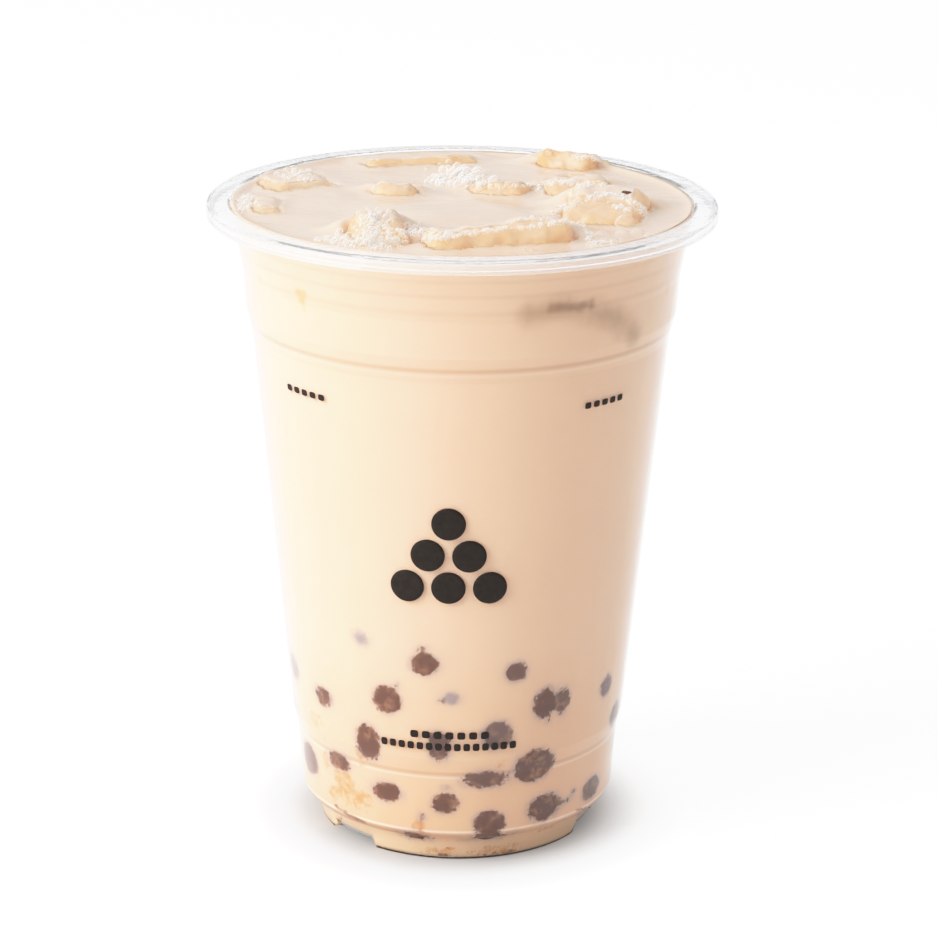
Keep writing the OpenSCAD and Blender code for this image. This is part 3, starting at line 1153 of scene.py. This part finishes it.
# Each stroke: its points (x, y), how far bubbles stray from it, how many there are, and
# the smallest and largest radius, all in mm.
FROTH = [
    ([(-42, -9), (-40, -2), (-40, 4)], 1.7, 150, 0.18, 0.5),
    ([(-42.5, 10), (-42, 18), (-40, 24)], 0.8, 60, 0.25, 0.6),
    ([(-36, 26), (-32, 25), (-29.5, 20)], 1.8, 90, 0.2, 0.5),
    ([(-16, -9), (-16, -16), (-16, -22), (-15, -28)], 2.2, 300, 0.18, 0.45),
    ([(-25, -29), (-20, -29), (-16, -31), (-11, -30)], 1.9, 220, 0.2, 0.6),
    ([(-11, -21), (-8, -23), (-5, -24)], 2.0, 130, 0.2, 0.5),
    ([(-3, 27), (1, 22), (3, 17)], 2.8, 130, 0.3, 1.0),
    ([(-6, 20), (-2, 17)], 1.5, 50, 0.25, 0.8),
    ([(-5, -27), (-2, -25), (3, -22), (8.6, -18.5), (15, -15.5), (19, -12)], 0.8, 200, 0.18, 0.42),
    ([(19, -12), (22, -16), (23, -22), (22.5, -27)], 0.6, 70, 0.18, 0.4),
    ([(3, 14.5), (8, 15), (14, 16.5), (20, 18), (28, 17)], 0.8, 110, 0.18, 0.42),
    ([(14.6, 16), (14.7, 10)], 0.4, 26, 0.18, 0.4),
    ([(15, 20), (20, 19), (25, 17)], 1.2, 60, 0.2, 0.45),
    ([(17, -6), (20, 0), (24, 6), (28, 9.5), (31, 6), (33, -2), (33.4, -9)], 0.9, 260, 0.18, 0.42),
    ([(28, 0), (31, -4)], 1.2, 46, 0.2, 0.4),
    ([(22, 42), (25, 41), (27, 38)], 0.8, 40, 0.2, 0.5),
    ([(28, -27), (25, -29), (23, -30)], 1.0, 40, 0.2, 0.5),
    ([(17, -11), (12, -11), (10, -12)], 0.5, 36, 0.18, 0.35),
]
LARGE_BUBBLES = [
    (29.6, -13.5, 1.9), (25.1, -25, 1.7), (28.7, -24.1, 1.6), (31.4, -21, 1.2), (23.5, -29.5, 0.8),
    (27, -27.5, 0.9), (33.4, -23, 0.8), (12.4, -35, 0.5), (11, -35.1, 0.45), (13.6, -35.6, 0.35),
    (17.2, 45.5, 0.7), (-1.5, 22, 0.9), (3.8, 24, 0.8), (-41, 14, 0.7),
]
bubble_draw = np.random.default_rng(23)
small = []
for places, stray, count, least, most in FROTH:
    for i in range(count):
        along = bubble_draw.uniform(0, len(places) - 1)
        first = int(along)
        start, end = places[first], places[min(first + 1, len(places) - 1)]
        share = along - first
        x = start[0] + (end[0] - start[0]) * share + bubble_draw.normal(0, stray * 0.6)
        y = start[1] + (end[1] - start[1]) * share + bubble_draw.normal(0, stray * 1.2)
        size = 1.1 * (least + (most - least) * bubble_draw.random() ** 2.5)
        middle = dropped(x, y)
        if middle is not None:
            small.append(((bubble_points * size + middle + (0, 0, 0.25 * size)) * MM, bubble_faces))
large = []
for x, y, size in LARGE_BUBBLES:
    middle = dropped(x, y)
    if middle is not None:
        large.append(((ball_points * size + middle + (0, 0, -0.15 * size)) * MM, ball_faces))
froth = heap("froth", small)
bubbles = heap("large_bubbles", large)

# %% A crumb of tapioca that the ice has lifted
crumb_place = dropped(31.2, 10.6)
if crumb_place is None:
    crumb_place = np.array([30.0, -2.0, LEVEL + 3])
crumb_shape = lumpy(ball_points, 0.12, 4) * (0.9, 0.6, 0.5) + crumb_place
crumb = heap("tapioca_crumb", [(crumb_shape * MM, ball_faces)])
crumb.data.materials.append(pearl_finish)
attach(crumb, "root")

# %% Bubble finishes
def bubble_alpha(tree, blend, start, end, low, high):
    """The output of an alpha that is low where a bubble is faced and high at its outline."""
    facing = node(tree, "LayerWeight", Blend=blend).outputs["Facing"]
    return ramp(tree, facing, start, end, low, high)


froth_finish, tree, shader = new_finish("froth")
set_up(
    tree, shader, Base_Color=mottled(tree, 900, 0, 1, colour(244, 234, 224), colour(252, 249, 246))[0],
    Roughness=0.12, IOR=1.33, Alpha=bubble_alpha(tree, 0.5, 0.2, 0.8, 0.1, 0.9),
    # Painted light: a faint glow for the light that scatters through the foam.
    Emission_Color=(1, 0.98, 0.96, 1), Emission_Strength=0.2,
    Subsurface_Weight=0.5, Subsurface_Radius=(1, 1, 1), Subsurface_Scale=0.001,
)
froth.data.materials.append(froth_finish)
film_finish, tree, shader = new_finish("bubble_film")
set_up(
    tree, shader, Base_Color=mottled(tree, 700, 0, 0.25, colour(250, 240, 230), colour(232, 208, 190))[0],
    Roughness=0.05, IOR=1.33, Alpha=bubble_alpha(tree, 0.35, 0.15, 0.9, 0.12, 0.85),
)
bubbles.data.materials.append(film_finish)
for piece in (froth, bubbles):
    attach(piece, "root")

# %% [markdown]
# ## The print
# The cup carries one large mark and four small lines. Names are not repeated here: the
# mark is a plain pile of six dots, and the lines are rows of short dashes. One dot and
# one dash are modelled flat, as a thin film of ink, and each copy is laid on the cone.

# %% One dot and one dash, flat
INK = 0.05
bpy.ops.object.select_all(action="DESELECT")
bpy.ops.mesh.primitive_circle_add(vertices=48, radius=1, fill_type="TRIFAN")
edit_all()
bpy.ops.mesh.subdivide(number_cuts=3)
bpy.ops.mesh.extrude_region_move(TRANSFORM_OT_translate={"value": (0, 0, 1)})
bpy.ops.mesh.select_all(action="SELECT")
bpy.ops.mesh.normals_make_consistent(inside=False)
bpy.ops.mesh.quads_convert_to_tris()
bpy.ops.object.mode_set(mode="OBJECT")
dot_points, dot_faces = shape_of(bpy.context.object)

bpy.ops.mesh.primitive_cube_add(size=1, location=(0, 0, 0.5))
edit_all()
bpy.ops.mesh.bevel(offset=0.28, segments=3, affect="EDGES")
bpy.ops.mesh.quads_convert_to_tris()
bpy.ops.object.mode_set(mode="OBJECT")
dash_points, dash_faces = shape_of(bpy.context.object)
print("dot", len(dot_faces), "faces, dash", len(dash_faces), "faces")


def printed(points, angle, height, across, up):
    """A flat shape as ink on the wall, its middle at an angle from the front and a height."""
    heights = height + points[:, 1] * up
    reach = wall_radius(heights) + 0.02 + points[:, 2] * INK
    turns = np.radians(angle) + points[:, 0] * across / reach
    return np.stack([reach * np.sin(turns), -reach * np.cos(turns), heights], 1) * MM


# %% Mark and lines
MARK_ANGLE = -3.0
MARK_TOP = 70.6
DOT_R = 3.15
DOT_STEP = 7.6
ROW_STEP = 6.3
mark = []
for row in range(3):
    height = MARK_TOP - row * ROW_STEP
    for i in range(row + 1):
        shift = math.degrees((i - row / 2) * DOT_STEP / float(wall_radius(height)))
        mark.append((printed(dot_points, MARK_ANGLE + shift, height, DOT_R, DOT_R), dot_faces))
mark_piece = heap("print_mark", mark)
# Each line: its middle's angle and height, how many dashes, their step, width and height.
LINES = [
    (-47, 92.0, 5, 2.2, 1.5, 1.2), (42.5, 91.5, 5, 2.0, 1.4, 1.2),
    (-2.5, 27.85, 7, 2.2, 1.5, 1.5), (-3, 25.45, 15, 1.75, 1.25, 1.5),
]
dashes = []
for angle_here, height, count, step, across, up in LINES:
    for i in range(count):
        shift = math.degrees((i - (count - 1) / 2) * step / float(wall_radius(height)))
        dashes.append((printed(dash_points, angle_here + shift, height, across, up), dash_faces))
lines_piece = heap("print_lines", dashes)
ink, tree, shader = new_finish("black_ink")
set_up(
    tree, shader, Base_Color=mottled(tree, 800, 0, 0.3, colour(26, 18, 13), colour(52, 42, 34))[0],
    Roughness=0.6, Specular_IOR_Level=0.2,
)
for piece in (mark_piece, lines_piece):
    piece.data.materials.append(ink)
    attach(piece, "root")
